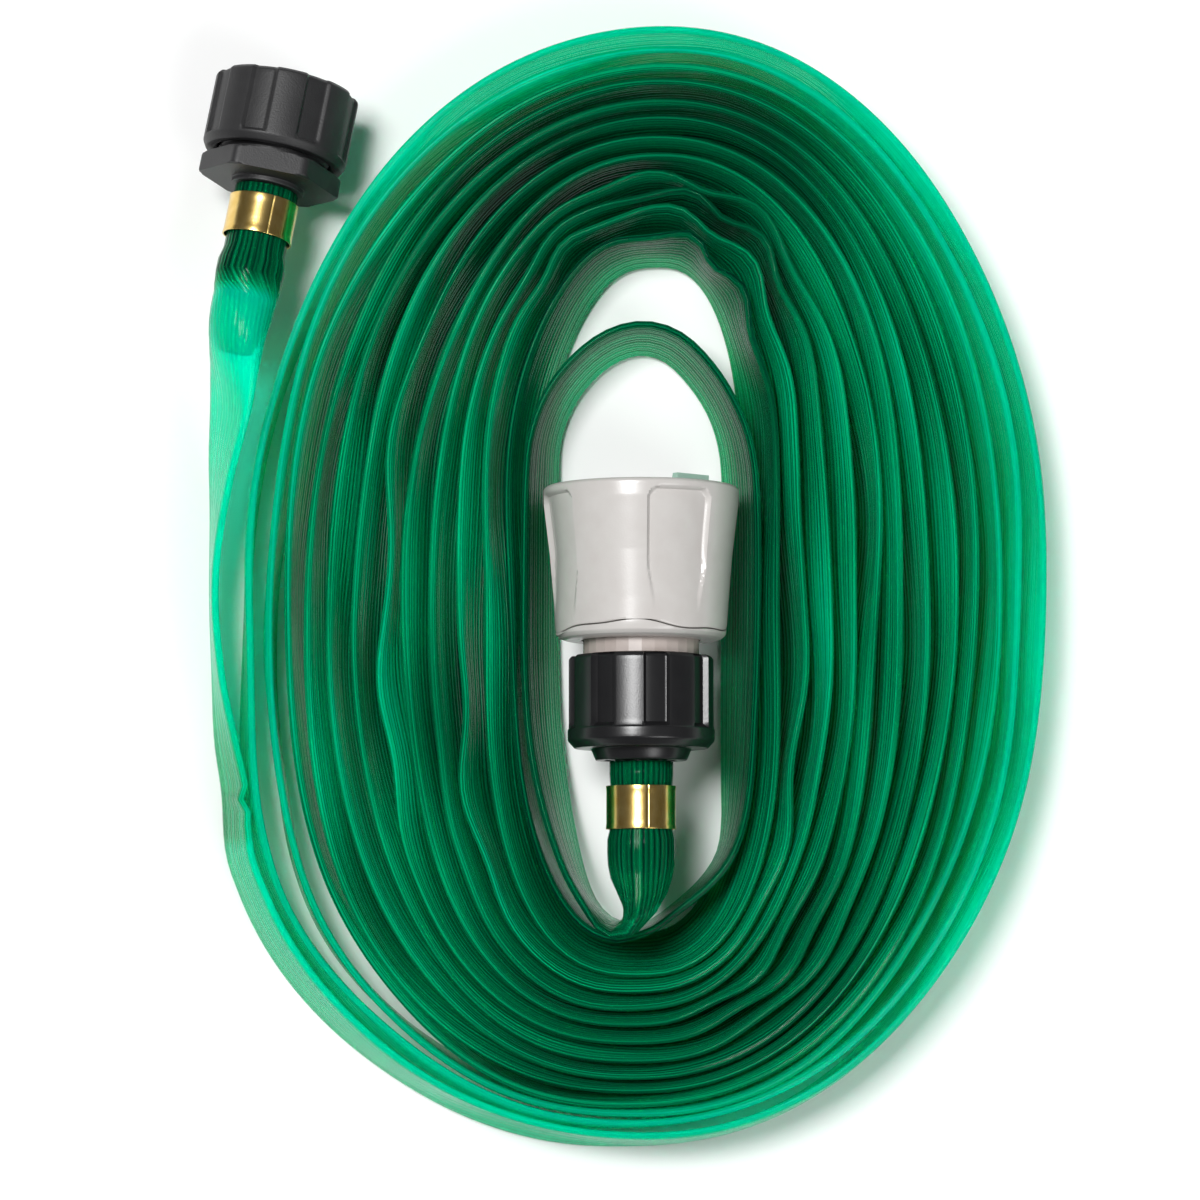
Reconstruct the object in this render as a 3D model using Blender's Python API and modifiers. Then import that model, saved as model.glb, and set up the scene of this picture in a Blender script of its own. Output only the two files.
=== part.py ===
"""Soaker hose, a lay-flat garden hose wound on edge into an oval coil that lies on the floor.

The inner end carries a barbed spigot with a brass ferrule and a swivel nut, screwed onto a quick
connector with a sprung release sleeve. The outer end carries a hexagonal threaded spigot closed
by a screw cap. Lengths are in metres, +Z is up and the object stands on z = 0.
"""

import math

import bmesh
import bpy
from mathutils import Matrix, Vector

MM = 0.001
GAP = 0.3 * MM

# The bounding box of the whole object is centred on the origin by this shift.
CENTRE_SHIFT = Vector((1.25, 0.8, 0.0)) * MM

# Hose, lay-flat PVC, standing on edge.
FLAT_WIDTH = 22.0 * MM
FLAT_THICKNESS = 3.2 * MM
NECK_RADIUS = 7.4 * MM
NECK_BORE = 6.7 * MM
COIL_HEIGHT = 22.6 * MM
HOSE_MIDDLE = COIL_HEIGHT / 2

# Oval spiral: the innermost and outermost turn, blended over COIL_TURNS clockwise turns.
COIL_TURNS = 12.18
COIL_START_ANGLE = math.radians(-90)
COIL_CLEARANCE = 0.0035
# Each oval has its half sizes and centre in millimetres, the sideways shift of its top and
# its bottom, and the superellipse powers of its upper and lower half.
INNER_OVAL = {"half": (25.4, 80.6), "centre": (3.1, -1.5), "shift": (4.0, 0.0), "power": (2.6, 2.8)}
OUTER_OVAL = {"half": (96.3, 132), "centre": (3.4, 1.3), "shift": (5.6, -3.4), "power": (2.0, 2.2)}
# The outer turns swell outwards about one angle, at the lower left.
SWELL = 7.0 * MM
SWELL_ANGLE = 207
SWELL_DIRECTION = Vector((-0.86, -0.51, 0.0))

# Screw threads of both ends, a 3/4 inch pipe thread.
THREAD_PITCH = 1.814 * MM
THREAD_MAJOR = 13.1 * MM
THREAD_CORE = 12.2 * MM

# Inner fitting: the axis runs along +Y towards the connector's open end, which dips to the floor.
TAP_TILT = math.radians(5.0)
TAP_X = 4.1 * MM
MOUTH_Z = 24.4 * MM
MOUTH_RADIUS = 22.9 * MM
NUT_RADIUS = 17.15 * MM
NUT_TOP = -15.2 * MM
NUT_BOTTOM = -36.8 * MM
NUT_BOSS_END = -39.6 * MM
BARB_LENGTH = 26.4 * MM

# Outer fitting: the axis runs towards the cap's closed end, which dips to the floor.
END_TILT = math.radians(10.0)
END_HEADING = math.radians(10.6)
END_PLACE = (-82.6 * MM, 99.9 * MM)
CAP_RADIUS = 17.0 * MM
CAP_BOTTOM = 1.5 * MM
CAP_TOP = 19.5 * MM
HEX_THICKNESS = 4.7 * MM
HEX_CORNER = 16.85 * MM
HOSE_STOP = -HEX_THICKNESS - 1.2 * MM

# Angles about either fitting's axis: seen from above, this far right of its upper side.
def right_of_top(degrees):
    return math.radians(degrees - 90)


CLAW_ANGLES = (right_of_top(40), right_of_top(220))
CLAW_WIDTH = 9.6 * MM
GRIP_ANGLES = [right_of_top(24 + 90 * i) for i in range(4)]
GRIP_COUNT = 8
NUT_VALLEY_ANGLE = right_of_top(12)
CAP_VALLEY_ANGLE = right_of_top(29.6)
HEX_ANGLE = right_of_top(33)

# Colours of the parts' own materials, red, green and blue.
HOSE_GREEN = (0.0, 0.33, 0.13)
BLACK = (0.02, 0.02, 0.022)
RUBBER = (0.015, 0.015, 0.015)
BRASS = (0.85, 0.6, 0.2)
GREY = (0.66, 0.63, 0.6)
CLAW_GREEN = (0.35, 0.6, 0.48)
STEEL = (0.6, 0.6, 0.6)

for old in list(bpy.data.objects):
    bpy.data.objects.remove(old)


def new_collection(name):
    group = bpy.data.collections.new(name)
    bpy.context.scene.collection.children.link(group)
    return group


PARTS = new_collection("soaker_hose")
CUTTERS = new_collection("cutters")


def material(name, colour, roughness, metallic=0.0):
    made = bpy.data.materials.new(name)
    made.use_nodes = True
    shader = made.node_tree.nodes["Principled BSDF"]
    shader.inputs["Base Color"].default_value = (*colour, 1.0)
    shader.inputs["Roughness"].default_value = roughness
    shader.inputs["Metallic"].default_value = metallic
    return made


def place(name, data, parent=None, cutter=False):
    """A new object, with its own material when it is a part, in the collection it belongs to."""
    made = bpy.data.objects.new(name, data)
    (CUTTERS if cutter else PARTS).objects.link(made)
    made.parent = parent
    if cutter:
        made.hide_render = True
        made.display_type = "WIRE"
    return made


def paint(made, colour, roughness, metallic=0.0):
    made.data.materials.append(material(made.name, colour, roughness, metallic))


def axis_empty(name, matrix):
    empty = bpy.data.objects.new(name, None)
    PARTS.objects.link(empty)
    empty.matrix_world = matrix
    return empty


# Shapes


def turned(name, profile, parent, steps=28, cutter=False):
    """A (radius, height) profile turned about local Z, its outer side listed first.

    It is closed into a ring, unless it starts and ends on the axis.
    """
    mesh = bpy.data.meshes.new(name)
    points = [(r, 0.0, z) for r, z in profile]
    count = len(points)
    edges = [(i, i + 1) for i in range(count - 1)]
    if profile[0][0] > 0:
        edges.append((count - 1, 0))
    mesh.from_pydata(points, edges, [])
    made = place(name, mesh, parent, cutter)
    screw = made.modifiers.new("Screw", "SCREW")
    screw.steps = screw.render_steps = steps
    screw.use_merge_vertices = True
    screw.merge_threshold = 0.00001
    screw.use_smooth_shade = True
    return made


def extruded(name, outlines, depth, parent=None, cutter=False, matrix=None):
    """Flat closed outlines, the later ones as holes, extruded by depth about their plane."""
    flat = bpy.data.curves.new(name, "CURVE")
    flat.dimensions = "2D"
    flat.fill_mode = "BOTH"
    flat.extrude = depth / 2
    for outline in outlines:
        spline = flat.splines.new("POLY")
        spline.points.add(len(outline) - 1)
        for point, (x, y) in zip(spline.points, outline, strict=True):
            point.co = (x, y, 0.0, 1.0)
        spline.use_cyclic_u = True
    guide = place(name, flat, parent, cutter)
    if matrix is not None:
        guide.matrix_local = matrix
    return guide


def as_mesh(curve, cutter=False):
    """A mesh object in the curve object's place, with its caps welded, ready for a Boolean."""
    bpy.context.view_layer.update()
    evaluated = curve.evaluated_get(bpy.context.evaluated_depsgraph_get())
    mesh = bpy.data.meshes.new_from_object(evaluated)
    work = bmesh.new()
    work.from_mesh(mesh)
    bmesh.ops.remove_doubles(work, verts=work.verts, dist=0.00001)
    bmesh.ops.recalc_face_normals(work, faces=work.faces)
    work.to_mesh(mesh)
    work.free()
    name, parent, matrix = curve.name, curve.parent, curve.matrix_world.copy()
    bpy.data.objects.remove(curve)
    made = place(name, mesh, parent, cutter)
    made.matrix_world = matrix
    return made


def joined(name, pieces):
    """One cutter made of several separate closed meshes under the same parent."""
    work = bmesh.new()
    for piece in pieces:
        start = len(work.verts)
        work.from_mesh(piece.data)
        work.verts.ensure_lookup_table()
        bmesh.ops.transform(work, matrix=piece.matrix_local, verts=work.verts[start:])
    mesh = bpy.data.meshes.new(name)
    work.to_mesh(mesh)
    work.free()
    parent = pieces[0].parent
    for piece in pieces:
        bpy.data.objects.remove(piece)
    return place(name, mesh, parent, cutter=True)


def boolean(made, other, operation):
    step = made.modifiers.new(f"{operation.title()} {other.name}", "BOOLEAN")
    step.operation = operation
    step.object = other
    step.solver = "EXACT"


def arc(radius, start, stop, steps):
    """Points of an arc about the origin, both ends included."""
    angles = [start + (stop - start) * i / steps for i in range(steps + 1)]
    return [(radius * math.cos(a), radius * math.sin(a)) for a in angles]


def smooth_route(points, per_span):
    """Points on a smooth curve (Catmull-Rom) through the given ones."""
    ends = [points[0] * 2 - points[1], *points, points[-1] * 2 - points[-2]]
    route = []
    for before, start, stop, after in zip(ends, ends[1:], ends[2:], ends[3:], strict=False):
        for i in range(per_span):
            t = i / per_span
            route.append(
                start
                + (stop - before) * (t / 2)
                + (before * 2 - start * 5 + stop * 4 - after) * (t * t / 2)
                + (start * 3 - stop * 3 + after - before) * (t**3 / 2)
            )
    return [*route, points[-1]]


# Hose route


def oval_point(oval, angle):
    """A point of a superellipse whose top and bottom are shifted sideways, in metres."""
    across, up = math.cos(angle), math.sin(angle)
    upper, lower = oval["power"]
    power = lower + (upper - lower) * (0.5 + 0.5 * up)
    x = math.copysign(abs(across) ** (2 / power), across) * oval["half"][0]
    y = math.copysign(abs(up) ** (2 / power), up) * oval["half"][1]
    x += oval["centre"][0] + oval["shift"][up < 0] * up * up
    return Vector((x, y + oval["centre"][1], 0.0)) * MM


def coil_point(turns, across=0.0):
    """The hose's centreline after some turns from the innermost, moved out by across pitches."""
    share = (turns + across) / COIL_TURNS
    angle = COIL_START_ANGLE - 2 * math.pi * turns
    point = oval_point(INNER_OVAL, angle) * (1 - share) + oval_point(OUTER_OVAL, angle) * share
    off = (math.degrees(angle) - SWELL_ANGLE + 180) % 360 - 180
    swell = SWELL * share**2 * math.exp(-((off / 24) ** 2))
    return point + SWELL_DIRECTION * swell + CENTRE_SHIFT


# Each row is a point of the centreline in millimetres and the hose's lean from upright in
# degrees, top edge away from the coil's middle. From the U-turn below the inner barb, up
# beside the connector, over it and down to the coil's first turn.
LOOP_ROUTE = [
    (3.3, -74.6, 29.9, 0),
    (1.2, -77.0, 28.3, 0),
    (-1.8, -77.8, 26.7, 0),
    (-5.2, -76.2, 25.0, 2),
    (-8.6, -72.4, 23.0, 4),
    (-11.6, -66.5, 20.6, 9),
    (-14.8, -56.0, 17.4, 14),
    (-17.3, -44.0, 14.6, 18),
    (-19.0, -31.0, 12.6, 20),
    (-19.7, -15.0, 11.5, 21),
    (-19.7, 5.0, 11.3, 21),
    (-19.5, 25.0, 11.3, 20),
    (-18.6, 36.5, 11.3, 18),
    (-15.0, 46.0, 11.3, 17),
    (-9.0, 53.6, 11.3, 16),
    (-2.2, 58.4, 11.3, 16),
    (5.0, 60.0, 11.3, 16),
    (12.0, 57.8, 11.3, 16),
    (18.4, 51.6, 11.3, 16),
    (23.6, 43.4, 11.3, 16),
    (26.8, 34.0, 11.3, 18),
    (27.9, 22.0, 11.3, 20),
    (28.0, 0.0, 11.3, 21),
    (27.6, -24.0, 11.3, 20),
    (27.0, -45.0, 11.3, 16),
    (26.0, -56.0, 11.3, 10),
    (23.8, -63.4, 11.3, 5),
    (19.4, -69.4, 11.3, 2),
    (13.0, -75.0, 11.3, 0),
    (6.0, -80.0, 11.3, 0),
]

# From the coil's last turn up the left side to the straight end at the outer barb.
TAIL_ROUTE = [
    (-91.9, -48.0, 11.3, -22),
    (-94.2, -35.0, 11.3, -17),
    (-96.0, -20.0, 11.3, -10),
    (-97.0, -2.0, 11.8, -7),
    (-96.3, 14.0, 14.2, -12),
    (-94.6, 30.0, 18.6, -12),
    (-92.2, 44.0, 22.8, -8),
]


def route_rows(rows):
    """Rows of a route as one vector each: the place in metres, then the lean in radians."""
    places = [Vector(row[:3]) * MM + CENTRE_SHIFT for row in rows]
    return [Vector((*p, math.radians(row[3]))) for p, row in zip(places, rows, strict=True)]


def flat_hose(name, route):
    """A flat oval section of 8 points swept along a route, upright apart from its lean."""
    section = bpy.data.curves.new(f"{name}_section", "CURVE")
    section.dimensions = "2D"
    outline = section.splines.new("POLY")
    half, bulge = FLAT_WIDTH / 2, FLAT_THICKNESS / 2
    angles = [math.radians(-45 * i) for i in range(8)]
    corners = [(bulge * math.cos(a), half * math.sin(a)) for a in angles]
    outline.points.add(len(corners) - 1)
    for point, (x, y) in zip(outline.points, corners, strict=True):
        point.co = (x, y, 0.0, 1.0)
    outline.use_cyclic_u = True
    guide = place(f"{name}_section", section, cutter=True)

    path = bpy.data.curves.new(name, "CURVE")
    path.dimensions = "3D"
    path.twist_mode = "Z_UP"
    path.bevel_mode = "OBJECT"
    path.bevel_object = guide
    path.use_fill_caps = True
    spline = path.splines.new("POLY")
    spline.points.add(len(route) - 1)
    for point, (x, y, z, lean) in zip(spline.points, route, strict=True):
        point.co = (x, y, z, 1.0)
        point.tilt = -lean
    spline.use_smooth = True
    paint(place(name, path), HOSE_GREEN, 0.25)


def straight_end(frame, barb_end, length):
    """Two points of hose straight off the end of a barb, clear of it."""
    places = [frame @ Vector((0, 0, barb_end - 2 * GAP - away)) for away in (0, length)]
    return [Vector((*p, 0.0)) for p in places]


def coil_end(turns, lean):
    """Where a run of hose meets one end of the coil, as a row of its route."""
    point = coil_point(turns)
    return Vector((point.x, point.y, HOSE_MIDDLE + CENTRE_SHIFT.z, math.radians(lean)))


def build_hose(loop_start, tail_end):
    loop = [*loop_start, *route_rows(LOOP_ROUTE), coil_end(-COIL_CLEARANCE, LOOP_ROUTE[-1][3])]
    flat_hose("hose_inner_loop", smooth_route(loop, 2))
    tail_start = coil_end(COIL_TURNS + COIL_CLEARANCE, TAIL_ROUTE[0][3])
    tail = [tail_start, *route_rows(TAIL_ROUTE), *reversed(tail_end)]
    flat_hose("hose_tail", smooth_route(tail, 3))
    steps = 72
    # The inner wall starts inside the first turn, then stands clear of the loop's leaning run.
    clear = [-0.35 + 1.25 * min(1.0, 5 * i / steps) for i in range(steps + 1)]
    inner = [coil_point(i / steps, away) for i, away in enumerate(clear)]
    last = COIL_TURNS - 1
    outer = [coil_point(last + i / steps, -0.5 + 0.9 * i / steps) for i in range(steps + 1)]
    outlines = [[(p.x, p.y) for p in outer], [(p.x, p.y) for p in inner]]
    lift = Matrix.Translation((0.0, 0.0, COIL_HEIGHT / 2 + CENTRE_SHIFT.z))
    coil = extruded("hose_coil", outlines, COIL_HEIGHT, matrix=lift)
    paint(coil, HOSE_GREEN, 0.25)


# Fittings


def thread(name, parent, start, stop):
    """A helical ridge for a union with a threaded stem."""
    turns = (stop - start) / THREAD_PITCH
    count = round(turns * 14)
    path = bpy.data.curves.new(name, "CURVE")
    path.dimensions = "3D"
    path.bevel_depth = 0.75 * MM
    path.bevel_resolution = 0
    path.use_fill_caps = True
    spline = path.splines.new("POLY")
    spline.points.add(count)
    for i, point in enumerate(spline.points):
        angle = 2 * math.pi * turns * i / count
        height = start + (stop - start) * i / count
        radius = THREAD_MAJOR - path.bevel_depth
        point.co = (radius * math.cos(angle), radius * math.sin(angle), height, 1.0)
    return as_mesh(place(name, path, parent, cutter=True), cutter=True)


def neck_and_ferrule(prefix, ferrule_prefix, parent, start, ferrule_start, stop, ferrule_length):
    """The hose's round end on its barb, and the brass band crimped round it, from start down."""
    neck = turned(
        f"hose_{prefix}_neck",
        [(NECK_RADIUS, start), (NECK_RADIUS, stop), (NECK_BORE, stop), (NECK_BORE, start)],
        parent,
    )
    paint(neck, HOSE_GREEN, 0.25)
    outer, inner = 8.1 * MM, NECK_RADIUS + GAP
    top, low = ferrule_start, ferrule_start - ferrule_length
    ferrule = turned(
        f"{ferrule_prefix}_ferrule",
        [(outer, top), (outer, low), (inner, low), (inner, top)],
        parent,
    )
    paint(ferrule, BRASS, 0.25, 1.0)


def barb_profile(top, length, bore):
    """The barbed tail's outer side from its root at top down to its end, then the bore back up."""
    stem, barb = 6.2 * MM, 6.4 * MM
    end = top - length
    return [
        (stem, top),
        (stem, end + 10.0 * MM),
        (barb, end + 9.0 * MM),
        (barb, end + 4.0 * MM),
        (5.0 * MM, end),
        (bore, end),
    ]


def valleys_cutter(name, parent, radius, depth, low, high, first_angle):
    """Flat-bottomed valleys, 20 degrees wide, between the grip ribs of a nut or cap."""
    half = radius * math.sin(math.radians(10))
    near, far = radius - depth, radius + 3 * MM
    outline = [(near, -half), (far, -half), (far, half), (near, half)]
    lift = Matrix.Translation((0, 0, (low + high) / 2))
    pieces = []
    for i in range(GRIP_COUNT):
        turn = Matrix.Rotation(first_angle + 2 * math.pi * i / GRIP_COUNT, 4, "Z")
        block = extruded(f"{name}_{i}", [outline], high - low, parent, True, turn @ lift)
        pieces.append(as_mesh(block, cutter=True))
    return joined(name, pieces)


def build_tap_end(axis):
    head_low, head_top = -31.7 * MM, -28.7 * MM
    journal_end = NUT_BOSS_END + GAP
    bore = 4.4 * MM
    profile = [(11.8 * MM, head_top), (11.8 * MM, head_low), (8.4 * MM, head_low)]
    profile += [(8.4 * MM, journal_end), *barb_profile(journal_end, BARB_LENGTH, bore)]
    profile += [(bore, head_top)]
    spigot = turned("tap_spigot", profile, axis)
    paint(spigot, BLACK, 0.35)
    low = journal_end - BARB_LENGTH
    neck_and_ferrule("inner", "tap", axis, journal_end - GAP, -45.5 * MM, low, 10.1 * MM)

    washer_low = head_top + GAP
    washer_top = washer_low + 2 * MM
    seal = [(12.2 * MM, washer_top), (12.2 * MM, washer_low)]
    seal += [(7.5 * MM, washer_low), (7.5 * MM, washer_top)]
    washer = turned("nut_washer", seal, axis)
    paint(washer, RUBBER, 0.7)

    pocket, lip = head_low - GAP, 8.7 * MM
    nut_bore = THREAD_MAJOR + GAP
    rim = NUT_BOTTOM + 4.6 * MM
    profile = [
        (NUT_RADIUS - 0.9 * MM, NUT_TOP),
        (NUT_RADIUS - 0.2 * MM, NUT_TOP - 0.8 * MM),
        (NUT_RADIUS - 0.2 * MM, rim),
        (NUT_RADIUS, rim - 0.3 * MM),
        (NUT_RADIUS, NUT_BOTTOM + 1.8 * MM),
        (NUT_RADIUS - 1.6 * MM, NUT_BOTTOM),
        (11.8 * MM, NUT_BOTTOM),
        (10.6 * MM, NUT_BOSS_END),
        (lip, NUT_BOSS_END),
        (lip, pocket),
        (nut_bore, pocket),
        (nut_bore, NUT_TOP),
    ]
    nut = turned("swivel_nut", profile, axis, steps=40)
    paint(nut, BLACK, 0.35)
    low, high = rim + 0.4 * MM, NUT_TOP + 2 * MM
    valleys = valleys_cutter(
        "nut_valleys", axis, NUT_RADIUS, 1.0 * MM, low, high, NUT_VALLEY_ANGLE
    )
    boolean(nut, valleys, "DIFFERENCE")


def build_connector(axis):
    thread_end = -26.1 * MM
    neck = 13.5 * MM
    neck_low = NUT_TOP + GAP
    flange, flange_low, flange_top = 17.4 * MM, -7.5 * MM, -5.2 * MM
    barrel, socket, throat = 13.0 * MM, 8.6 * MM, 6.0 * MM
    front = 23.2 * MM
    core_profile = [
        (16.6 * MM, front),
        (17.2 * MM, front - 0.6 * MM),
        (17.2 * MM, front - 4.0 * MM),
        (barrel, front - 7.0 * MM),
        (barrel, flange_top),
        (flange, flange_top),
        (flange, flange_low),
        (neck, flange_low),
        (neck, neck_low),
        (THREAD_CORE, neck_low),
        (THREAD_CORE, thread_end + 1.0 * MM),
        (THREAD_CORE - 1.0 * MM, thread_end),
        (throat, thread_end),
        (throat, -4.0 * MM),
        (socket, -2.0 * MM),
        (socket, front - 2.0 * MM),
        (socket + 2.0 * MM, front),
    ]
    core = turned("connector_core", core_profile, axis)
    paint(core, GREY, 0.4)
    ridge = thread("core_thread", axis, thread_end + 1.4 * MM, neck_low - 0.6 * MM)
    boolean(core, ridge, "UNION")

    slot_low, slot_half = 6.6 * MM, CLAW_WIDTH / 2 + GAP
    slots = []
    for i, angle in enumerate(CLAW_ANGLES):
        near, far = 5.0 * MM, 20.0 * MM
        outline = [(near, -slot_half), (far, -slot_half), (far, slot_half), (near, slot_half)]
        depth = front + 2 * MM - slot_low
        matrix = Matrix.Rotation(angle, 4, "Z") @ Matrix.Translation((0, 0, slot_low + depth / 2))
        slots.append(as_mesh(extruded(f"slot_{i}", [outline], depth, axis, True, matrix), True))
    boolean(core, joined("claw_slots", slots), "DIFFERENCE")

    build_claws(axis)
    build_sleeve(axis, neck, flange, flange_low)

    path = bpy.data.curves.new("sleeve_spring", "CURVE")
    path.dimensions = "3D"
    path.bevel_depth = 0.55 * MM
    path.bevel_resolution = 1
    path.use_fill_caps = True
    low, high, turns = flange_top + 0.9 * MM, 4.6 * MM, 3.5
    count = 56
    spline = path.splines.new("POLY")
    spline.points.add(count)
    for i, point in enumerate(spline.points):
        angle = 2 * math.pi * turns * i / count
        height = low + (high - low) * i / count
        point.co = (15.1 * MM * math.cos(angle), 15.1 * MM * math.sin(angle), height, 1.0)
    spring = place("sleeve_spring", path, axis)
    paint(spring, STEEL, 0.3, 1.0)


# Claw outline in the plane through the axis: radius outwards, height towards the mouth.
CLAW_OUTLINE = [
    (13.6, 7.4),
    (15.2, 7.4),
    (15.2, 17.4),
    (17.7, 20.6),
    (18.6, 22.6),
    (18.6, 26.0),
    (16.9, 26.0),
    (16.3, 23.6),
    (13.2, 18.2),
    (9.4, 16.6),
    (9.4, 15.4),
    (12.4, 12.8),
    (13.6, 12.2),
]


def build_claws(axis):
    for name, angle in zip(("claw_upper", "claw_lower"), CLAW_ANGLES, strict=True):
        outline = [(r * MM, z * MM) for r, z in CLAW_OUTLINE]
        upright = Matrix.Rotation(angle, 4, "Z") @ Matrix.Rotation(math.pi / 2, 4, "X")
        claw = extruded(name, [outline], CLAW_WIDTH, axis, matrix=upright)
        paint(claw, CLAW_GREEN, 0.4)


def build_sleeve(axis, neck, flange, flange_low):
    cavity = flange + 0.5 * MM
    joint = -8.9 * MM
    cam_low, cam_top = 12.6 * MM, 15.4 * MM
    seat_low, seat_top = 5.3 * MM, 6.6 * MM
    profile = [
        (MOUTH_RADIUS - 0.7 * MM, MOUTH_Z),
        (MOUTH_RADIUS, MOUTH_Z - 0.7 * MM),
        (MOUTH_RADIUS - 0.1 * MM, MOUTH_Z - 4.0 * MM),
        (21.3 * MM, 8.0 * MM),
        (20.4 * MM, -3.0 * MM),
        (20.0 * MM, joint),
        (cavity, joint),
        (cavity, seat_low),
        (13.4 * MM, seat_low),
        (13.4 * MM, seat_top),
        (cavity - 0.6 * MM, seat_top + 0.4 * MM),
        (cavity - 0.6 * MM, cam_low - 1.0 * MM),
        (16.4 * MM, cam_low),
        (16.4 * MM, cam_top),
        (19.2 * MM, cam_top + 2.6 * MM),
        (21.1 * MM, MOUTH_Z - 3.0 * MM),
        (21.1 * MM, MOUTH_Z),
    ]
    sleeve = turned("release_sleeve", profile, axis, steps=48)
    paint(sleeve, GREY, 0.4)
    low, high, floor = -7.0 * MM, 22.4 * MM, 21.35 * MM
    pieces = []
    for i, angle in enumerate(GRIP_ANGLES):
        half = math.radians(20.5)
        outline = arc(26 * MM, -half, half, 6) + arc(floor, half, -half, 8)
        matrix = Matrix.Rotation(angle, 4, "Z") @ Matrix.Translation((0, 0, (low + high) / 2))
        block = extruded(f"grip_{i}", [outline], high - low, axis, True, matrix)
        pieces.append(as_mesh(block, True))
    boolean(sleeve, joined("grip_recesses", pieces), "DIFFERENCE")

    inner_top, low = flange_low - GAP, -11.6 * MM
    round_over = [(20.0, -9.2), (19.7, -10.1), (18.8, -10.9), (17.6, -11.4)]
    profile = [(cavity - GAP, inner_top), (cavity - GAP, -9.2 * MM)]
    profile += [(r * MM, z * MM) for r, z in round_over]
    profile += [(16.4 * MM, low), (neck + GAP, low), (neck + GAP, inner_top)]
    ring = turned("sleeve_rear_ring", profile, axis, steps=40)
    paint(ring, GREY, 0.4)


def build_outer_end(axis):
    bore = 4.4 * MM
    stem_top = 13.9 * MM
    profile = [
        (THREAD_CORE - 1.0 * MM, stem_top),
        (THREAD_CORE, stem_top - 1.0 * MM),
        (THREAD_CORE, -1.0 * MM),
        (8.6 * MM, -1.0 * MM),
        (8.6 * MM, HOSE_STOP),
        *barb_profile(HOSE_STOP, BARB_LENGTH, bore),
        (bore, stem_top),
    ]
    spigot = turned("end_spigot", profile, axis)
    paint(spigot, BLACK, 0.5)
    corner, nip = HEX_CORNER, math.radians(3.5)
    sides = [HEX_ANGLE + math.radians(60 * i) for i in range(6)]
    angles = [side + s * nip for side in sides for s in (-1, 1)]
    outline = [(corner * math.cos(a), corner * math.sin(a)) for a in angles]
    lift = Matrix.Translation((0, 0, -HEX_THICKNESS / 2))
    hexagon = as_mesh(extruded("hexagon", [outline], HEX_THICKNESS, axis, True, lift), True)
    boolean(spigot, hexagon, "UNION")
    boolean(spigot, thread("end_thread", axis, 1.4 * MM, stem_top - 1.4 * MM), "UNION")
    high, low = stem_top + MM, -HEX_THICKNESS - 2 * MM
    clear = [(0.0, high), (bore, high), (bore, low), (0.0, low)]
    boolean(spigot, turned("hex_bore", clear, axis, cutter=True), "DIFFERENCE")
    low = HOSE_STOP - BARB_LENGTH
    neck_and_ferrule("outer", "end", axis, HOSE_STOP - GAP, -8.7 * MM, low, 9.4 * MM)

    inside_top, cap_bore = CAP_TOP - 3.0 * MM, THREAD_MAJOR + GAP
    profile = [
        (0.0, CAP_TOP),
        (CAP_RADIUS - 0.8 * MM, CAP_TOP),
        (CAP_RADIUS, CAP_TOP - 0.8 * MM),
        (CAP_RADIUS, CAP_BOTTOM + 1.6 * MM),
        (CAP_RADIUS - 0.9 * MM, CAP_BOTTOM),
        (cap_bore + 0.8 * MM, CAP_BOTTOM),
        (cap_bore, CAP_BOTTOM + 0.8 * MM),
        (cap_bore, inside_top),
        (0.0, inside_top),
    ]
    cap = turned("end_cap", profile, axis, steps=40)
    paint(cap, BLACK, 0.5)
    low, high = CAP_BOTTOM + 2.4 * MM, CAP_TOP + 2 * MM
    valleys = valleys_cutter(
        "cap_valleys", axis, CAP_RADIUS, 0.8 * MM, low, high, CAP_VALLEY_ANGLE
    )
    boolean(cap, valleys, "DIFFERENCE")
    seal_low, seal_top = stem_top + GAP, inside_top - GAP
    seal = [(12.4 * MM, seal_top), (12.4 * MM, seal_low)]
    seal += [(6.5 * MM, seal_low), (6.5 * MM, seal_top)]
    washer = turned("end_cap_washer", seal, axis)
    paint(washer, RUBBER, 0.7)


def main():
    rise = MOUTH_RADIUS * math.cos(TAP_TILT) + MOUTH_Z * math.sin(TAP_TILT)
    along = Matrix.Rotation(-math.pi / 2 - TAP_TILT, 4, "X")
    tap = Matrix.Translation(Vector((TAP_X, 0.0, rise)) + CENTRE_SHIFT) @ along
    tap_axis = axis_empty("tap_axis", tap)
    build_tap_end(tap_axis)
    build_connector(tap_axis)
    loop_start = straight_end(tap, NUT_BOSS_END + GAP - BARB_LENGTH, 4 * MM)

    rise = CAP_RADIUS * math.cos(END_TILT) + CAP_TOP * math.sin(END_TILT)
    turn = Matrix.Rotation(-END_HEADING, 4, "Z") @ Matrix.Rotation(-math.pi / 2 - END_TILT, 4, "X")
    end = Matrix.Translation(Vector((*END_PLACE, rise)) + CENTRE_SHIFT) @ turn
    build_outer_end(axis_empty("end_axis", end))
    build_hose(loop_start, straight_end(end, HOSE_STOP - BARB_LENGTH, 10 * MM))


main()
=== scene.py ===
import math

import bpy
import numpy as np
from mathutils import Matrix, Vector


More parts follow.
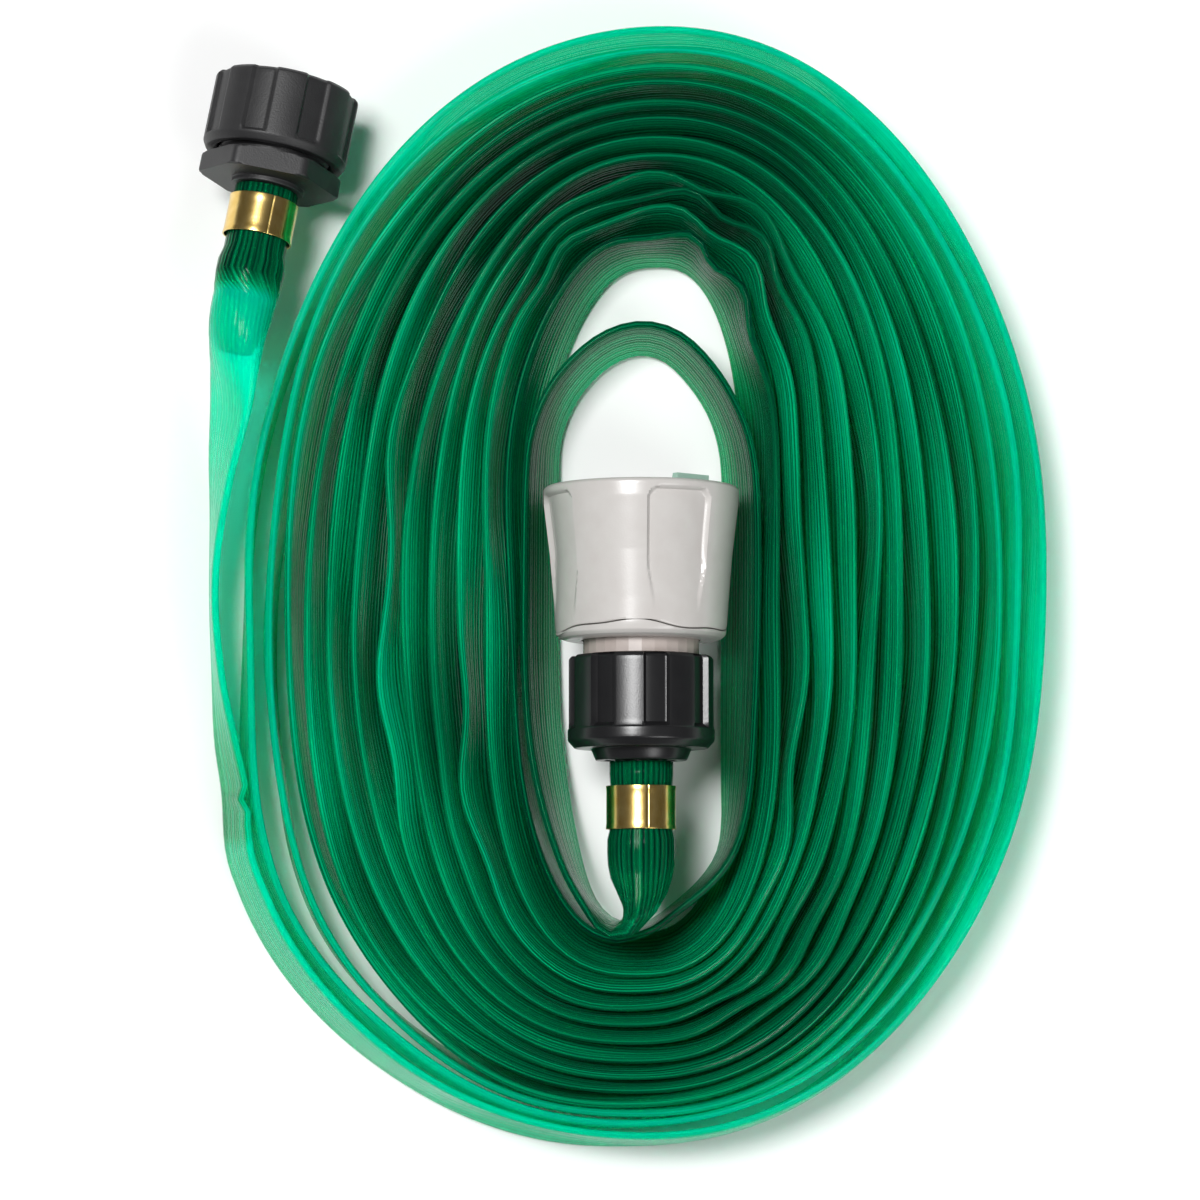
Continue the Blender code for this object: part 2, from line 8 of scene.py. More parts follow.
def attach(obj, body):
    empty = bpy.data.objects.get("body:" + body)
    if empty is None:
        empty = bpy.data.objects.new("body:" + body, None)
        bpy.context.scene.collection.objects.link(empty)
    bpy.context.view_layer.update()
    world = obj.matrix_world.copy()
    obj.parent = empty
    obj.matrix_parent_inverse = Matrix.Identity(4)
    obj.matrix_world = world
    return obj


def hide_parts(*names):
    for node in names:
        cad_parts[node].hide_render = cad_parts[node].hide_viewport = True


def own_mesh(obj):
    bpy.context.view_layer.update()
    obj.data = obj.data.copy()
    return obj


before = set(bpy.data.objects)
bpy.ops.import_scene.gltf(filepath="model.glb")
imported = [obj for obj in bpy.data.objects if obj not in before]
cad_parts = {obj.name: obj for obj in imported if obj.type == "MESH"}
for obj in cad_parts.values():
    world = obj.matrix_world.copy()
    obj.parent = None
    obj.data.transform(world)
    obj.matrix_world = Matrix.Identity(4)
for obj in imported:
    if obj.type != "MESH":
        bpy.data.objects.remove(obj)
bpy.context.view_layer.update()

MM = 0.001
TAU = 2 * math.pi
SHIFT = np.array([1.25, 0.8, 0.0])  # from the drawn coordinates to the part's frame


# ------------------------------------------------------------------ camera
camera_data = bpy.data.cameras.new("camera")
camera_data.lens = 125.1
camera_data.sensor_width = 36.0
camera_data.clip_start = 0.05
camera_data.clip_end = 20.0
camera = bpy.data.objects.new("camera", camera_data)
camera.location = (-0.00425, -0.0012, 1.0)
bpy.context.scene.collection.objects.link(camera)
bpy.context.scene.camera = camera
bpy.context.scene.view_settings.view_transform = "Standard"


# ------------------------------------------------------------------ frames of the two fittings
def fitting_frame(x, y, tilt, heading, radius, top):
    """A fitting resting on its rim: +Z slopes down by tilt and turns heading clockwise from +Y."""
    rise = radius * math.cos(tilt) + top * math.sin(tilt)
    turn = Matrix.Rotation(-heading, 4, "Z") @ Matrix.Rotation(-math.pi / 2 - tilt, 4, "X")
    place = Vector((x + SHIFT[0], y + SHIFT[1], rise)) * MM
    return Matrix.Translation(place) @ turn


TAP = fitting_frame(4.1, 0.0, math.radians(5.0), 0.0, 22.9, 24.4)
END = fitting_frame(-82.6, 99.9, math.radians(10.0), math.radians(10.6), 17.0, 19.5)


def on_axis(matrix, z):
    """The point at height z on a fitting's axis, in millimetres."""
    return np.array(matrix @ Vector((0, 0, z * MM))) / MM


# ------------------------------------------------------------------ hose route, in millimetres
COIL_TURNS = 12.18
INNER_OVAL = {"half": (25.4, 80.6), "centre": (3.1, -1.5), "shift": (4.0, 0.0), "power": (2.6, 2.8)}
OUTER_OVAL = {"half": (96.3, 132), "centre": (3.4, 1.3), "shift": (5.6, -3.4), "power": (2.0, 2.2)}
SWELL = 7.0  # how far the outer turns bulge at the lower left
SWELL_AT = 207.0  # the direction of the bulge, in degrees
MIDDLE = 11.3  # height of the middle of the wound hose
HALF = 11.15  # half the flat width
NECK = 7.4  # radius where the hose is round on a barb
BORE = 6.6  # radius of its inside there
# each row is a point of the centreline and the lean from upright in degrees, top edge outwards
LOOP_ROUTE = [
    (3.3, -74.6, 29.9, 0), (1.2, -77.0, 28.3, 0), (-1.8, -77.8, 26.7, 0), (-5.2, -76.2, 25.0, 2),
    (-8.6, -72.4, 23.0, 4), (-11.6, -66.5, 20.6, 9), (-14.8, -56.0, 17.4, 14),
    (-17.3, -44.0, 14.6, 18), (-19.0, -31.0, 12.6, 20), (-19.7, -15.0, 11.5, 21),
    (-19.7, 5.0, 11.3, 21), (-19.5, 25.0, 11.3, 20), (-18.6, 36.5, 11.3, 18),
    (-15.0, 46.0, 11.3, 17), (-9.0, 53.6, 11.3, 16), (-2.2, 58.4, 11.3, 16),
    (5.0, 60.0, 11.3, 16), (12.0, 57.8, 11.3, 16), (18.4, 51.6, 11.3, 16),
    (23.6, 43.4, 11.3, 16), (26.8, 34.0, 11.3, 18), (27.9, 22.0, 11.3, 20),
    (28.0, 0.0, 11.3, 21), (27.6, -24.0, 11.3, 20), (27.0, -45.0, 11.3, 16),
    (26.0, -56.0, 11.3, 10), (23.8, -63.4, 11.3, 5), (19.4, -69.4, 11.3, 2),
    (13.0, -75.0, 11.3, 0), (6.0, -80.0, 11.3, 0),
]
TAIL_ROUTE = [
    (-91.9, -48.0, 11.3, -20), (-94.2, -35.0, 11.3, -17), (-96.0, -20.0, 11.3, -10),
    (-97.0, -2.0, 11.8, -7), (-96.3, 14.0, 14.2, -10), (-94.6, 30.0, 18.6, -20),
    (-92.2, 44.0, 22.8, -30),
]


def oval_point(oval, angle):
    """A point of a squared oval; the squaring and the sideways shift differ above and below."""
    across, up = math.cos(angle), math.sin(angle)
    upper, lower = oval["power"]
    power = lower + (upper - lower) * (0.5 + 0.5 * up)
    x = math.copysign(abs(across) ** (2 / power), across) * oval["half"][0]
    y = math.copysign(abs(up) ** (2 / power), up) * oval["half"][1]
    x += oval["centre"][0] + oval["shift"][up < 0] * up * up
    return np.array([x, y + oval["centre"][1], 0.0])


def coil_point(turns):
    """The centreline after so many turns of the coil, from the inner oval out to the outer one."""
    share = turns / COIL_TURNS
    angle = -math.pi / 2 - TAU * turns
    point = oval_point(INNER_OVAL, angle) * (1 - share) + oval_point(OUTER_OVAL, angle) * share
    off = (math.degrees(angle) - SWELL_AT + 180) % 360 - 180
    swell = SWELL * share**2 * math.exp(-((off / 24) ** 2))
    return point + swell * np.array([-0.86, -0.51, 0.0]) + SHIFT


def smoothstep(x, low=0.0, high=1.0):
    t = np.clip((np.asarray(x, float) - low) / (high - low), 0, 1)
    return t * t * (3 - 2 * t)


# lean of the outermost turn, by angle about the coil
OUTER_LEAN = (
    (0, 8), (60, 8), (110, 8), (150, 4), (180, -8), (205, -20), (230, -21), (265, -14), (300, 0), (360, 8),
)


def coil_lean(turns):
    """Lean of the wound hose from upright, top edge outwards, in degrees."""
    angle = (-90 - 360 * turns) % 360
    outer = np.interp(angle, [a for a, _ in OUTER_LEAN], [b for _, b in OUTER_LEAN])
    inner = 21 - 6 * max(0.0, math.sin(math.radians(angle)) - 0.4)
    start = float(smoothstep(turns, 0.0, 0.35))
    share = float(smoothstep(turns / COIL_TURNS, 0.6, 0.99))
    return (inner * (1 - share) + outer * share) * start


COIL_POINTS = 840
TAP_BARB = np.arange(-39.9, -65.8, -3.2)
PAST_TAP_BARB = (-66.3, -70.3)
PAST_END_BARB = (-42.3, -32.4)
END_BARB = [*np.arange(-29.2, -6.0, 3.2), -6.2]


def straight_rows(matrix, heights, lean=0.0):
    return [(*on_axis(matrix, z), lean, 0.0) for z in heights]


def route_rows(route):
    return [(x + SHIFT[0], y + SHIFT[1], z, lean, 0.0) for x, y, z, lean in route]


def hose_rows():
    """The whole centreline as rows of x, y, z, lean in degrees, and turns of the coil so far."""
    rows = straight_rows(TAP, [*TAP_BARB, *PAST_TAP_BARB]) + route_rows(LOOP_ROUTE)
    for i in range(1, COIL_POINTS + 1):
        turns = COIL_TURNS * i / COIL_POINTS
        x, y, _ = coil_point(turns)
        rows.append((x, y, MIDDLE, coil_lean(turns), turns))
    rows += route_rows(TAIL_ROUTE) + straight_rows(END, PAST_END_BARB, -36.0) + straight_rows(END, END_BARB)
    return np.array(rows)


def catmull(points, per_span):
    """A smooth curve through the points, with some steps to each span."""
    ends = np.vstack([2 * points[0] - points[1], points, 2 * points[-1] - points[-2]])
    made = []
    for a, b, c, d in zip(ends, ends[1:], ends[2:], ends[3:]):
        for i in range(per_span):
            t = i / per_span
            made.append(
                b + (c - a) * (t / 2) + (2 * a - 5 * b + 4 * c - d) * (t * t / 2)
                + (3 * b - 3 * c + d - a) * (t**3 / 2)
            )
    return np.vstack([made, points[-1:]])


STEP = 3.0  # between rings
SPAN_STEPS = 6
dense = catmull(hose_rows(), SPAN_STEPS)
along = np.concatenate([[0], np.cumsum(np.linalg.norm(np.diff(dense[:, :3], axis=0), axis=1))])
LENGTH = along[-1]
rings = int(round(LENGTH / STEP)) + 1
at = np.linspace(0, LENGTH, rings)
line = np.stack([np.interp(at, along, dense[:, k]) for k in range(3)], axis=1)
lean = np.radians(np.interp(at, along, dense[:, 3]))
turns_at = np.interp(at, along, dense[:, 4])


def wander(x, scale, seed):
    """Smooth noise about -1 to 1 along x."""
    r = np.random.default_rng(seed)
    total = np.zeros_like(x)
    for _ in range(5):
        total += math.sqrt(0.4) * np.sin(TAU * x / (scale * r.uniform(0.55, 1.9)) + r.uniform(0, TAU))
    return total / 1.6


# where along the hose the coil starts and ends
ON_BARB = 26.0
TAIL_LENGTH = 115.0  # from the coil to the barb
loop_end = along[(len(TAP_BARB) + len(PAST_TAP_BARB) + len(LOOP_ROUTE)) * SPAN_STEPS]
coil_end = LENGTH - ON_BARB - TAIL_LENGTH
in_coil = smoothstep(at, loop_end - 60, loop_end + 60) * (1 - smoothstep(at, coil_end - 90, coil_end + 10))

# round on the barbs, flat past them
round_in = 1 - smoothstep(at, ON_BARB - 1.0, ON_BARB + 16)
round_out = smoothstep(at, LENGTH - ON_BARB - 30, LENGTH - ON_BARB - 0.5)
roundness = np.maximum(round_in, round_out)

# directions along, up and outwards at each ring, then the wander that neighbouring turns leave room for
tangent = np.gradient(line, axis=0)
tangent /= np.linalg.norm(tangent, axis=1)[:, None]
up = np.array([0.0, 0.0, 1.0])
up0 = up - tangent * (tangent @ up)[:, None]
up0 /= np.linalg.norm(up0, axis=1)[:, None]
outward = np.cross(up0, tangent)
pitch = np.array([np.linalg.norm(coil_point(t + 0.5) - coil_point(t - 0.5)) for t in turns_at])
angle_at = (-90 - 360 * turns_at) % 360
room = 0.22 * np.clip(pitch - 2.9, 0.3, 3.0)
line = line + outward * (room * (0.7 * wander(at, 150, 3) + 0.5 * wander(at, 61, 4)) * in_coil)[:, None]
lower_left = np.exp(-(((angle_at - 218) / 26) ** 2))
late = smoothstep(turns_at, 9.3, 10.9) * (1 - smoothstep(turns_at, 11.5, 12.0))
line = line + outward * (1.6 * lower_left * late)[:, None]
line[:, 2] += (wander(at, 260, 5) * 0.5 - 0.4) * in_coil
lean = lean + np.radians(2.2) * wander(at, 150, 7) * in_coil
high = up0 * np.cos(lean)[:, None] + outward * np.sin(lean)[:, None]
side = outward * np.cos(lean)[:, None] - up0 * np.sin(lean)[:, None]

# section: flat with rounded edges and fine ribs, or round on a barb
SIDES = 36
FLAT_SHARE = 0.86  # of the half width, before the edge rounds off
FACE_THICK, EDGE_THICK = 0.8, 0.9  # half of each
theta = TAU * (np.arange(SIDES) + 0.5) / SIDES
v = np.sin(theta)
flat_v = np.clip(2 * np.arcsin(np.clip(v, -1, 1)) / math.pi, -1, 1) * 0.35 + v * 0.65
edge = np.abs(flat_v)
face = FACE_THICK + (EDGE_THICK - FACE_THICK) * smoothstep(edge, 0.55, FLAT_SHARE)
tip = EDGE_THICK * np.sqrt(np.clip(1 - ((edge - FLAT_SHARE) / (1 - FLAT_SHARE)) ** 2, 0, 1))
half_thick = np.where(edge < FLAT_SHARE, face, tip)
rib = np.where(np.arange(SIDES) % 2 == 0, 0.07, -0.07)
flat = np.stack([np.sign(np.cos(theta)) * (half_thick + rib * (edge < 0.9)), flat_v * HALF], axis=1)
circle = np.stack([np.cos(theta) * (NECK + rib), np.sin(theta) * (NECK + rib)], axis=1)

q = roundness[:, None, None]
section = flat[None] * (1 - q) + circle[None] * q
from_ends = np.minimum(at, LENGTH - at)
over_barb = smoothstep(from_ends, 15.5, 18.5) * (1 - smoothstep(from_ends, 22, 27))
pinch = smoothstep(from_ends, 5.0, 6.0) * (1 - smoothstep(from_ends, 15.0, 16.0))
section *= (1 + 0.07 * over_barb - 0.03 * pinch)[:, None, None]
bulge = 4 * roundness * (1 - roundness)
section[:, :, 1] *= 1 + 0.06 * bulge[:, None]

# buckled edges: the free upper edge waves sideways; each buckled stretch has its angle about the
# coil, its half width in degrees, its first and last turn, and its amplitude
WAVES_PER_TURN = 12.07
BUCKLES = (
    (68, 34, 0.5, 3.6, 2.0), (178, 24, 4.6, 5.6, 2.0), (205, 22, 1.8, 2.6, 1.6), (340, 24, 1.2, 2.2, 1.8),
    (300, 20, 3.6, 5.8, 1.3), (118, 16, 1.0, 2.6, 1.5),
)
envelope = np.zeros(rings)
for centre, width, first_turn, last_turn, amplitude in BUCKLES:
    off = (angle_at - centre + 180) % 360 - 180
    begun = smoothstep(turns_at, first_turn - 0.3, first_turn + 0.1)
    ended = smoothstep(turns_at, last_turn, last_turn + 0.8)
    envelope = np.maximum(envelope, amplitude * np.exp(-((off / width) ** 2)) * (begun * (1 - ended)))
bow = 1.1 * wander(at, 90, 41) * in_coil * (1 - roundness)
section[:, :, 0] += bow[:, None] * (1 - (section[:, :, 1] / HALF) ** 2)
wave = envelope * np.sin(TAU * WAVES_PER_TURN * turns_at + 1.3 * wander(turns_at * 100, 40, 23))
height = (section[:, :, 1] / HALF + 1) / 2
lift = np.clip(height, 0, 1.1) ** 2
section[:, :, 0] += wave[:, None] * lift

# the rings' points, with each ring lifted clear of the floor
points = line[:, None, :] + side[:, None, :] * section[:, :, :1] + high[:, None, :] * section[:, :, 1:]
low = points[:, :, 2].min(axis=1)
points[:, :, 2] += np.maximum(0.0, 0.05 - low)[:, None]
line[:, 2] += np.maximum(0.0, 0.05 - low)


def tube(points):
    """The quads of a tube whose rings are the rows of points."""
    n, m = points.shape[:2]
    i = np.arange(n - 1)[:, None] * m
    j = np.arange(m)[None]
    k = (j + 1) % m
    return np.stack([i + j, i + k, i + m + k, i + m + j], axis=-1).reshape(-1, 4)


def inner_lining(ring_points, centre, start, count, reverse):
    """Rings of the hose's inside at one end: round in the barb, closing where the hose is flat."""
    made = []
    for step in range(count):
        ring = start - step if reverse else start + step
        closing = 0.88 * (1 - smoothstep(1 - roundness[ring], 0, 1.0)) + 0.02
        shrink = BORE / NECK if roundness[ring] > 0.98 else closing
        made.append(centre[ring] + (ring_points[ring] - centre[ring]) * shrink)
    return np.array(made)


LINING_RINGS = 14
faces = tube(points)
vertices = points.reshape(-1, 3)
first = inner_lining(points, line, 0, LINING_RINGS, False)
last = inner_lining(points, line, rings - 1, LINING_RINGS, True)


def add(vertices, faces, more, more_faces):
    """The mesh with another one put after it."""
    return np.vstack([vertices, more]), np.vstack([faces, more_faces + len(vertices)])


# both linings are joined to the outside at the hose's ends and closed deep inside
m = SIDES
j = np.arange(m)
k = (j + 1) % m
base = len(vertices)
vertices, faces = add(vertices, faces, first.reshape(-1, 3), tube(first)[:, ::-1])
faces = np.vstack([faces, np.stack([k, j, base + j, base + k], axis=-1)])
caps = [list(base + (len(first) - 1) * m + j)]
end0 = (rings - 1) * m
base = len(vertices)
vertices, faces = add(vertices, faces, last.reshape(-1, 3), tube(last))
faces = np.vstack([faces, np.stack([end0 + j, end0 + k, base + k, base + j], axis=-1)])
caps.append(list((base + (len(last) - 1) * m + j)[::-1]))


def mesh_object(name, vertices, faces, smooth=True):
    mesh = bpy.data.meshes.new(name)
    mesh.from_pydata([tuple(p) for p in vertices], [], [tuple(int(i) for i in f) for f in faces])
    mesh.validate()
    mesh.update()
    if smooth:
        mesh.shade_smooth()
    made = bpy.data.objects.new(name, mesh)
    bpy.context.scene.collection.objects.link(made)
    return made


hose = mesh_object("hose", vertices * MM, [*faces.tolist(), *caps])
girth = np.concatenate([np.tile(theta / TAU, rings), np.tile(theta / TAU, len(first) + len(last))])
length_at = np.repeat(np.concatenate([at, at[: len(first)], at[::-1][: len(last)]]), m)
coordinates = np.stack([np.cos(girth * TAU), np.sin(girth * TAU), length_at / 1000], axis=1)
attribute = hose.data.attributes.new("hose_place", "FLOAT_VECTOR", "POINT")
attribute.data.foreach_set("vector", coordinates.astype(np.float32).ravel())

# painted light and shade in the hose's colour: how much light reaches each place; the upper edges and the
# outer turns are painted bright
outer = smoothstep(turns_at, 8.2, 11.3)
alone = 0.75 * (1 - smoothstep(turns_at, 0.1, 0.8))
tail_part = smoothstep(at, coil_end - 60, coil_end + 40)
open_to_light = np.maximum(np.maximum(0.85 * outer, alone), tail_part)[:, None]
high_share = np.clip((section[:, :, 1] / HALF + 1) / 2, 0, 1)
# painted shade where the inner turns lie close together
crowd_shade = (1 - 0.5 * (1 - smoothstep(pitch, 3.9, 5.4)) * smoothstep(turns_at, 0.5, 1.5))[:, None]
patchy = (0.07 * wander(at, 190, 61) + 0.05 * wander(at, 47, 62))[:, None]
# painted shade: a darker line along the top edge
top_edge_shade = 0.1 * smoothstep(high_share, 0.96, 1.0)
shade = (0.24 + patchy + 0.26 * smoothstep(high_share, 0.3, 0.85) - top_edge_shade) * crowd_shade
# the outer turns, the loop and the tail are painted bright, brightest towards the top
shade = shade * (1 - open_to_light) + (0.80 + 0.2 * high_share) * open_to_light
# painted light beside the coil's middle: the loop and first turn are painted lighter towards their lower
# edge, where light comes up from the floor
beside_hole = (1 - smoothstep(turns_at, 0.55, 1.15)) * (1 - tail_part)
shade = shade * (1 - beside_hole[:, None]) + (0.5 - 0.36 * high_share) * beside_hole[:, None]
# painted shade where the hose lies over its black barbs, near both ends
barb_shade = 0.16
past_barb = smoothstep(from_ends, 22, 27)[:, None]
shade = np.where(from_ends[:, None] < 27, barb_shade + (shade - barb_shade) * past_barb, shade)
shade = np.concatenate([shade.ravel(), np.full(len(first) * m + len(last) * m, 0.4)])
attribute = hose.data.attributes.new("hose_shade", "FLOAT", "POINT")
attribute.data.foreach_set("value", shade.astype(np.float32))


# ------------------------------------------------------------------ materials
def new_material(name):
    """A material with its node tree and its main shader."""
    made = bpy.data.materials.new(name)
    made.use_nodes = True
    tree = made.node_tree
    return made, tree, tree.nodes["Principled BSDF"]


def node(tree, kind, **values):
    """A new node with its inputs or settings filled in."""
    made = tree.nodes.new(kind)
    for key, value in values.items():
        if key in made.inputs:
            made.inputs[key].default_value = value
        else:
            setattr(made, key, value)
    return made


def math_node(tree, operation, a, b=None):
    made = tree.nodes.new("ShaderNodeMath")
    made.operation = operation
    for socket, value in zip(made.inputs, (a, b)):
        if value is None:
            continue
        if isinstance(value, (int, float)):
            socket.default_value = value
        else:
            tree.links.new(value, socket)
    return made.outputs[0]


def ramp(tree, factor, stops):
    """Colour by a factor, from stops of position and colour."""
    made = tree.nodes.new("ShaderNodeValToRGB")
    while len(made.color_ramp.elements) < len(stops):
        made.color_ramp.elements.new(0.5)
    for element, (position, colour) in zip(made.color_ramp.elements, stops):
        element.position = position
        element.color = (*colour, 1.0)
    tree.links.new(factor, made.inputs["Fac"])
    return made.outputs["Color"]


def hose_material():
    """Clear green plastic coloured by the painted light and shade of hose_shade, with fine ribs and streaks
    along it whose light and dark lines are painted.
    """
    made, tree, shader = new_material("hose_pvc")
    place = tree.nodes.new("ShaderNodeAttribute")
    place.attribute_name = "hose_place"
    parts = tree.nodes.new("ShaderNodeSeparateXYZ")
    tree.links.new(place.outputs["Vector"], parts.inputs[0])
    turn = math_node(tree, "ARCTAN2", parts.outputs["Y"], parts.outputs["X"])
    ribs = math_node(tree, "SINE", math_node(tree, "MULTIPLY", turn, 36.0))
    noise = node(tree, "ShaderNodeTexNoise", Scale=9.0, Detail=2.0)
    tree.links.new(place.outputs["Vector"], noise.inputs["Vector"])
    shade = tree.nodes.new("ShaderNodeAttribute")
    shade.attribute_name = "hose_shade"
    cloud = math_node(tree, "MULTIPLY", math_node(tree, "SUBTRACT", noise.outputs["Fac"], 0.5), 0.25)
    # streaks: irregular painted light and dark lines along the ribs
    streak_place = tree.nodes.new("ShaderNodeCombineXYZ")
    tree.links.new(math_node(tree, "MULTIPLY", turn, 5.0), streak_place.inputs[0])
    tree.links.new(math_node(tree, "MULTIPLY", parts.outputs["Z"], 3.0), streak_place.inputs[1])
    streaks = node(tree, "ShaderNodeTexNoise", Scale=2.2, Detail=3.0, Roughness=0.7)
    tree.links.new(streak_place.outputs[0], streaks.inputs["Vector"])
    streak = math_node(tree, "MULTIPLY", math_node(tree, "SUBTRACT", streaks.outputs["Fac"], 0.5), 0.9)
    # painted light and dark lines on the ribs, with random tone, then the painted streaks and the painted
    # shade of hose_shade
    mixed = math_node(tree, "ADD", math_node(tree, "MULTIPLY", ribs, 0.11), cloud)
    mixed = math_node(tree, "ADD", mixed, streak)
    mixed = math_node(tree, "ADD", mixed, shade.outputs["Fac"])
    colour = ramp(tree, mixed, [
        (0.0, (0.0, 0.03, 0.02)), (0.25, (0.0, 0.25, 0.095)), (0.55, (0.0, 0.70, 0.30)),
        (0.85, (0.0, 1.0, 0.64)),
    ])
    tree.links.new(colour, shader.inputs["Base Color"])
    bump = node(tree, "ShaderNodeBump", Strength=0.22, Distance=0.00015)
    tree.links.new(ribs, bump.inputs["Height"])
    tree.links.new(bump.outputs["Normal"], shader.inputs["Normal"])
    shader.inputs["Roughness"].default_value = 0.1
    shader.inputs["IOR"].default_value = 1.12
    shader.inputs["Transmission Weight"].default_value = 0.66
    return made


def plastic(name, dark, light, roughness, scale=220.0, grain=0.15):
    """A colour that drifts between two tones, with a fine grain."""
    made, tree, shader = new_material(name)
    place = tree.nodes.new("ShaderNodeTexCoord")
    noise = node(tree, "ShaderNodeTexNoise", Scale=scale, Detail=3.0)
    tree.links.new(place.outputs["Object"], noise.inputs["Vector"])
    colour = ramp(tree, noise.outputs["Fac"], [(0.3, dark), (0.7, light)])
    tree.links.new(colour, shader.inputs["Base Color"])
    fine = node(tree, "ShaderNodeTexNoise", Scale=2600.0, Detail=2.0)
    tree.links.new(place.outputs["Object"], fine.inputs["Vector"])
    bump = node(tree, "ShaderNodeBump", Strength=grain, Distance=0.0001)
    tree.links.new(fine.outputs["Fac"], bump.inputs["Height"])
    tree.links.new(bump.outputs["Normal"], shader.inputs["Normal"])
    shader.inputs["Roughness"].default_value = roughness
    return made


black = plastic("black_plastic", (0.009, 0.009, 0.01), (0.012, 0.012, 0.013), 0.28)
matte_black = plastic("matte_black_plastic", (0.013, 0.013, 0.014), (0.018, 0.018, 0.019), 0.5, grain=0.5)
grey = plastic("grey_plastic", (0.53, 0.505, 0.485), (0.56, 0.54, 0.52), 0.26)
neck_grey = plastic("neck_plastic", (0.42, 0.36, 0.33), (0.47, 0.41, 0.38), 0.4)
green = plastic("green_plastic", (0.36, 0.56, 0.46), (0.42, 0.62, 0.52), 0.4)
rubber = plastic("seal_rubber", (0.01, 0.01, 0.01), (0.016, 0.016, 0.016), 0.75)


def metal(name, dark, light, roughness):
    made = plastic(name, dark, light, roughness, scale=500.0, grain=0.1)
    made.node_tree.nodes["Principled BSDF"].inputs["Metallic"].default_value = 1.0
    return made


brass = metal("brass", (0.75, 0.5, 0.13), (0.9, 0.66, 0.25), 0.22)
steel = metal("spring_steel", (0.5, 0.5, 0.5), (0.62, 0.62, 0.62), 0.3)

hose.data.materials.append(hose_material())
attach(hose, "hose")
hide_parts("hose_coil", "hose_inner_loop", "hose_tail", "hose_inner_neck", "hose_outer_neck")


# ------------------------------------------------------------------ turned pieces
def rounded(profile, radius, steps=3):
    """The closed profile with its corners rounded."""
    made = []
    count = len(profile)
    for i in range(count):
        before, corner, after = (np.array(profile[(i + k) % count], float) for k in (-1, 0, 1))
        a, b = before - corner, after - corner
        la, lb = np.linalg.norm(a), np.linalg.norm(b)
        cut = min(radius, 0.4 * la, 0.4 * lb)
        start, end = corner + a / la * cut, corner + b / lb * cut
        for k in range(steps + 1):
            t = k / steps
            made.append((1 - t) ** 2 * start + 2 * t * (1 - t) * corner + t * t * end)
    return np.array(made)


def divided(profile, step):
    """The closed profile with points at most step apart."""
    made = []
    for i in range(len(profile)):
        a, b = profile[i], profile[(i + 1) % len(profile)]
        n = max(1, int(math.ceil(np.linalg.norm(b - a) / step)))
        made.extend(a + (b - a) * (k / n) for k in range(n))
    return np.array(made)


def turned(
    name, matrix, profile, body, nodes, look, radius=0.3, step=4.0, segments=96, shape=None
):
    """A closed profile of radius and height turned about the fitting's axis; shape moves its points."""
    outline = divided(rounded(profile, radius), step)
    angles = TAU * np.arange(segments) / segments
    r = np.repeat(outline[:, 0][None], segments, axis=0)
    z = np.repeat(outline[:, 1][None], segments, axis=0)
    theta = np.repeat(angles[:, None], len(outline), axis=1)
    if shape is not None:
        r, z = shape(r, z, theta)
    local = np.stack([r * np.cos(theta), r * np.sin(theta), z], axis=-1).reshape(-1, 3)
    n = len(outline)
    i = np.arange(segments)[:, None]
    j = np.arange(n)[None]
    a = i * n + j
    b = i * n + (j + 1) % n
    c = ((i + 1) % segments) * n + (j + 1) % n
    d = ((i + 1) % segments) * n + j
    quads = np.stack([a, b, c, d], axis=-1).reshape(-1, 4)
    corners = [local[quads[:, corner]] for corner in range(3)]
    if np.einsum("ij,ij->i", corners[0], np.cross(corners[1], corners[2])).sum() < 0:
        quads = quads[:, ::-1]
    made = mesh_object(name, local * MM, quads.tolist())
    made.data.set_sharp_from_angle(angle=math.radians(40))
    made.matrix_world = matrix
    made.data.materials.append(look)
    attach(made, body)
    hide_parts(*nodes)


def apart(theta, centre):
    """Angle from a direction, in degrees, from -180 to 180."""
    return (np.degrees(theta) - centre + 180) % 360 - 180


def valleys(first, half, soft):
    """1 in the eight valleys between grip ribs, 0 on the ribs."""
    def mask(theta):
        off = np.abs((np.degrees(theta) - first + 22.5) % 45 - 22.5)
        return 1 - smoothstep(off, half - soft, half + soft)
    return mask


NUT_VALLEY = 12 - 90
nut_mask = valleys(NUT_VALLEY, 9.8, 1.0)


def nut_shape(r, z, theta):
    ribbed = smoothstep(z, -32.3, -31.5) * (r > 15.5)
    crown = 0.06 * (1 - np.cos(8 * (theta - math.radians(NUT_VALLEY))))
    return r - (1.5 * nut_mask(theta) + crown) * ribbed, z


NUT = [
    (16.25, -15.2), (16.95, -16.0), (16.95, -32.2), (17.15, -32.5), (17.15, -35.0), (15.55, -36.8),
    (11.8, -36.8), (10.6, -39.6), (8.7, -39.6), (8.7, -32.0), (13.4, -32.0), (13.4, -15.2),
]
turned("nut", TAP, NUT, "nut", ["swivel_nut"], black, 0.3, 0.8, 288, nut_shape)

cap_mask = valleys(29.6 - 90, 9.6, 1.5)


def cap_shape(r, z, theta):
    ribbed = smoothstep(z, 3.4, 4.2) * smoothstep(r, 15.0, 15.6)
    return r - 0.8 * cap_mask(theta) * ribbed, z


CAP = [
    (0.02, 19.5), (16.2, 19.5), (17.0, 18.7), (17.0, 3.1), (16.1, 1.5), (14.2, 1.5), (13.4, 2.3),
    (13.4, 16.5), (0.02, 16.5),
]
turned("cap", END, CAP, "cap", ["end_cap"], matte_black, 0.3, 0.8, 288, cap_shape)


def helix(z, theta, low, high, depth, pitch=1.814):
    """How far a thread stands out: a ridge of 60 degrees that fades at both ends."""
    phase = np.abs(((z / pitch - theta / TAU) % 1) - 0.5) * 2
    ridge = np.clip(1.25 - 1.6 * phase, 0, 1)
    return depth * ridge * smoothstep(z, low, low + 0.8) * (1 - smoothstep(z, high - 0.8, high))


